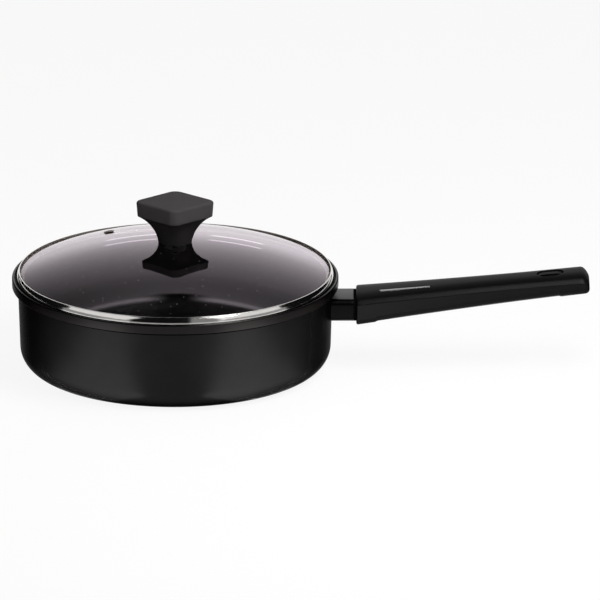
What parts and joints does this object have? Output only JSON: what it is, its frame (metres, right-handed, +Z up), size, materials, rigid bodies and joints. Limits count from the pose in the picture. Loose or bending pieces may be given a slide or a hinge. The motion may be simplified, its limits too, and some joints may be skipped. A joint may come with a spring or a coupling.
{
  "type": "lidded stew pan",
  "caption": "Low straight-sided stew pan with a stepped rim, a long rising handle behind a flame guard, and a domed glass lid with a steel band, steam vent and diamond-shaped knob.",
  "frame": {"origin": "centre of the base, on the axis of the pan, on the face that rests on the hob", "axes": "+X along the handle away from the pan, +Z up along the axis of the pan and lid"},
  "size_m": [0.4419, 0.25, 0.1319],
  "materials": {
    "coated_aluminium": "matte charcoal non-stick coating",
    "hob_plate_steel": "brushed",
    "guard_coating": "satin black",
    "handle_plastic": "satin black",
    "inlay_metal": "bright satin",
    "screw_steel": "zinc bright",
    "band_steel": "polished",
    "lid_glass": "clear tempered",
    "knob_plastic": "matte",
    "insert_brass": "turned",
    "silicone": "matte"
  },
  "bodies": {
    "pan": {"pan_bowl": "coated_aluminium", "base_plate": "hob_plate_steel", "flame_guard": "guard_coating", "handle_grip": "handle_plastic", "handle_screw": "screw_steel", "handle_spring_washer": "screw_steel", "handle_inlay": "inlay_metal"},
    "lid": {"lid_glass": "lid_glass", "lid_rim_band": "band_steel", "vent_eyelet": "band_steel", "knob": "knob_plastic", "knob_insert": "insert_brass", "knob_gasket": "silicone", "glass_gasket": "silicone", "knob_washer": "screw_steel", "knob_screw": "screw_steel"}
  },
  "joints": [
    {"name": "lid_lift", "type": "slide", "parent": "pan", "child": "lid", "axis": [0, 0, 1], "range_m": [0, 0.15]}
  ]
}
